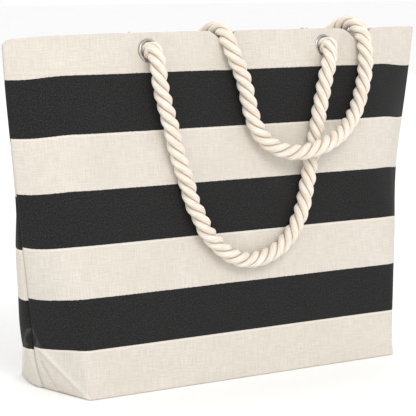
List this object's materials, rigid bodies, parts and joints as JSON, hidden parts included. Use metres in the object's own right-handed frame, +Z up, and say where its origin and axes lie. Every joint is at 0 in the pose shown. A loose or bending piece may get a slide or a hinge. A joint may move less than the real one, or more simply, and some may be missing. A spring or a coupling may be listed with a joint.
{
  "type": "beach bag",
  "caption": "Striped canvas beach tote with boxed corners, a hemmed open top, metal eyelets and knotted rope handles that swing up to carry.",
  "frame": {"origin": "middle of the base, on the surface that the bag stands on", "axes": "+Z up, -Y out of the front (the side whose handle hangs on its own panel), +X to the right seen from the front"},
  "size_m": [0.543, 0.14, 0.3789],
  "materials": {
    "canvas": "matte",
    "base_canvas": "matte",
    "hem_canvas": "matte",
    "seam_canvas": "matte",
    "eyelet": "satin",
    "rope": "matte"
  },
  "bodies": {
    "bag": {"front_panel": "canvas", "back_panel": "canvas", "base_panel": "base_canvas", "front_hem": "hem_canvas", "back_hem": "hem_canvas", "left_side_seam": "seam_canvas", "right_side_seam": "seam_canvas", "base_seam": "seam_canvas", "left_corner_seam": "seam_canvas", "right_corner_seam": "seam_canvas", "front_left_eyelet": "eyelet", "front_right_eyelet": "eyelet", "back_left_eyelet": "eyelet", "back_right_eyelet": "eyelet", "front_left_washer": "eyelet", "front_right_washer": "eyelet", "back_left_washer": "eyelet", "back_right_washer": "eyelet", "front_left_rope_end": "rope", "front_right_rope_end": "rope", "back_left_rope_end": "rope", "back_right_rope_end": "rope", "front_left_knot": "rope", "front_right_knot": "rope", "back_left_knot": "rope", "back_right_knot": "rope", "front_left_tail": "rope", "front_right_tail": "rope", "back_left_tail": "rope", "back_right_tail": "rope"},
    "front_handle": {"front_handle_rope": "rope"},
    "back_handle": {"back_handle_rope": "rope"}
  },
  "joints": [
    {"name": "front_handle_swing", "type": "hinge", "parent": "bag", "child": "front_handle", "pos_m": [0, -0.037, 0.347], "axis": [-1, 0, 0], "range_deg": [0, 173], "deforming": ["front_handle_rope"]},
    {"name": "back_handle_swing", "type": "hinge", "parent": "bag", "child": "back_handle", "pos_m": [0, -0.003, 0.395], "axis": [-1, 0, 0], "range_deg": [0, 168], "deforming": ["back_handle_rope"]}
  ]
}
